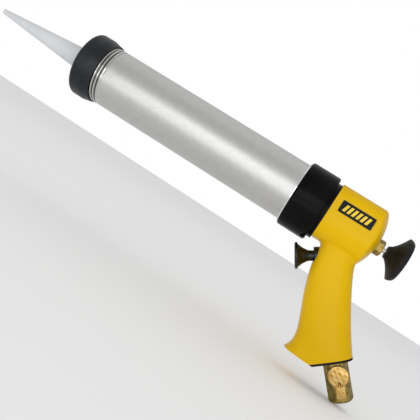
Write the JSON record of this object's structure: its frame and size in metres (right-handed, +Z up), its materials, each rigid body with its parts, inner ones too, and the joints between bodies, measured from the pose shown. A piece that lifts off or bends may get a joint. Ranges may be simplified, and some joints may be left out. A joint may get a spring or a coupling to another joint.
{
  "type": "air caulking gun",
  "caption": "Air-powered caulking gun: aluminium barrel with screw cap and cone nozzle, cast pistol grip, push trigger, throttle knob and brass inlet with a shut-off lever.",
  "frame": {"origin": "centre of the nozzle's outlet, the tool's working point", "axes": "+X along the barrel from the nozzle to the head, +Z up with the grip hanging in -Z, the lever and nameplate on the -Y side"},
  "size_m": [0.4775, 0.064, 0.1711],
  "materials": {
    "yellow_paint": "gloss yellow enamel on an aluminium die casting",
    "barrel_aluminium": "satin, finely brushed",
    "cap_black": "satin black finish on steel",
    "nut_black": "glossy black finish on steel",
    "adapter_black": "matt black finish on steel",
    "polished_steel": "polished",
    "screw_steel": "zinc plated",
    "nozzle_plastic": "translucent natural polyethylene",
    "trigger_plastic": "glossy black",
    "knob_plastic": "matt charcoal",
    "piston_plastic": "natural nylon",
    "seal_rubber": "nitrile rubber",
    "olive_brass": "dull machined brass",
    "bright_brass": "bright cast brass",
    "plate_black": "printed black with yellow marks"
  },
  "bodies": {
    "gun_body": {"handle_body": "yellow_paint", "nameplate": "plate_black", "head_adapter": "adapter_black", "adapter_gasket": "seal_rubber", "adapter_screws": "screw_steel", "barrel_gasket": "seal_rubber", "barrel_tube": "barrel_aluminium", "retaining_ring": "polished_steel", "front_seal": "seal_rubber", "trigger_bush": "trigger_plastic", "stem_oring": "seal_rubber", "valve_seat": "olive_brass", "valve_spring": "screw_steel", "throttle_gland": "olive_brass", "gland_oring": "seal_rubber", "inlet_gasket": "seal_rubber", "inlet_body": "olive_brass", "inlet_oring": "seal_rubber"},
    "nozzle": {"nozzle": "nozzle_plastic"},
    "front_cap": {"front_cap": "cap_black"},
    "slip_sleeve": {"slip_sleeve": "polished_steel"},
    "ring_nut": {"ring_nut": "nut_black"},
    "piston": {"piston_plunger": "piston_plastic", "piston_seal": "seal_rubber", "piston_plate": "screw_steel", "piston_screw": "screw_steel"},
    "trigger": {"trigger_button": "trigger_plastic", "trigger_stem": "screw_steel", "poppet_disc": "seal_rubber"},
    "throttle_needle": {"throttle_needle": "olive_brass"},
    "throttle_knob": {"throttle_knob": "knob_plastic", "throttle_stem": "screw_steel", "knob_screw": "screw_steel"},
    "flow_lever": {"flow_lever": "bright_brass", "flow_spindle": "olive_brass", "spindle_oring": "seal_rubber", "spindle_clip": "screw_steel"}
  },
  "joints": [
    {"name": "nozzle_slide", "type": "slide", "parent": "gun_body", "child": "nozzle", "axis": [-1, 0, 0], "range_m": [0, 0.0132]},
    {"name": "cap_turn", "type": "hinge", "parent": "nozzle", "child": "front_cap", "pos_m": [0.108, 0, 0], "axis": [-1, 0, 0], "range_deg": [0, 1440]},
    {"name": "sleeve_slide", "type": "slide", "parent": "gun_body", "child": "slip_sleeve", "axis": [-1, 0, 0], "range_m": [0, 0.0132]},
    {"name": "nut_turn", "type": "hinge", "parent": "slip_sleeve", "child": "ring_nut", "pos_m": [0.338, 0, 0], "axis": [-1, 0, 0], "range_deg": [0, 1440]},
    {"name": "piston_slide", "type": "slide", "parent": "gun_body", "child": "piston", "axis": [-1, 0, 0], "range_m": [0, 0.2179]},
    {"name": "trigger_slide", "type": "slide", "parent": "gun_body", "child": "trigger", "axis": [0.8415, 0, 0.5402], "range_m": [0, 0.005], "stiffness_N_per_m": 1500, "springref_m": -0.004, "deforming": ["valve_spring"]},
    {"name": "needle_slide", "type": "slide", "parent": "gun_body", "child": "throttle_needle", "axis": [-1, 0, 0], "range_m": [0, 0.003]},
    {"name": "knob_turn", "type": "hinge", "parent": "throttle_needle", "child": "throttle_knob", "pos_m": [0.388, 0, -0.0019], "axis": [-1, 0, 0], "range_deg": [0, 1080]},
    {"name": "lever_turn", "type": "hinge", "parent": "gun_body", "child": "flow_lever", "pos_m": [0.45509, 0, -0.1156], "axis": [0, 1, 0], "range_deg": [-90, 0]}
  ],
  "couplings": [
    {"joint": "cap_turn", "follows": "nozzle_slide", "rad_per_m": 1904},
    {"joint": "nut_turn", "follows": "sleeve_slide", "rad_per_m": 1904},
    {"joint": "knob_turn", "follows": "needle_slide", "rad_per_m": 6283.2}
  ]
}
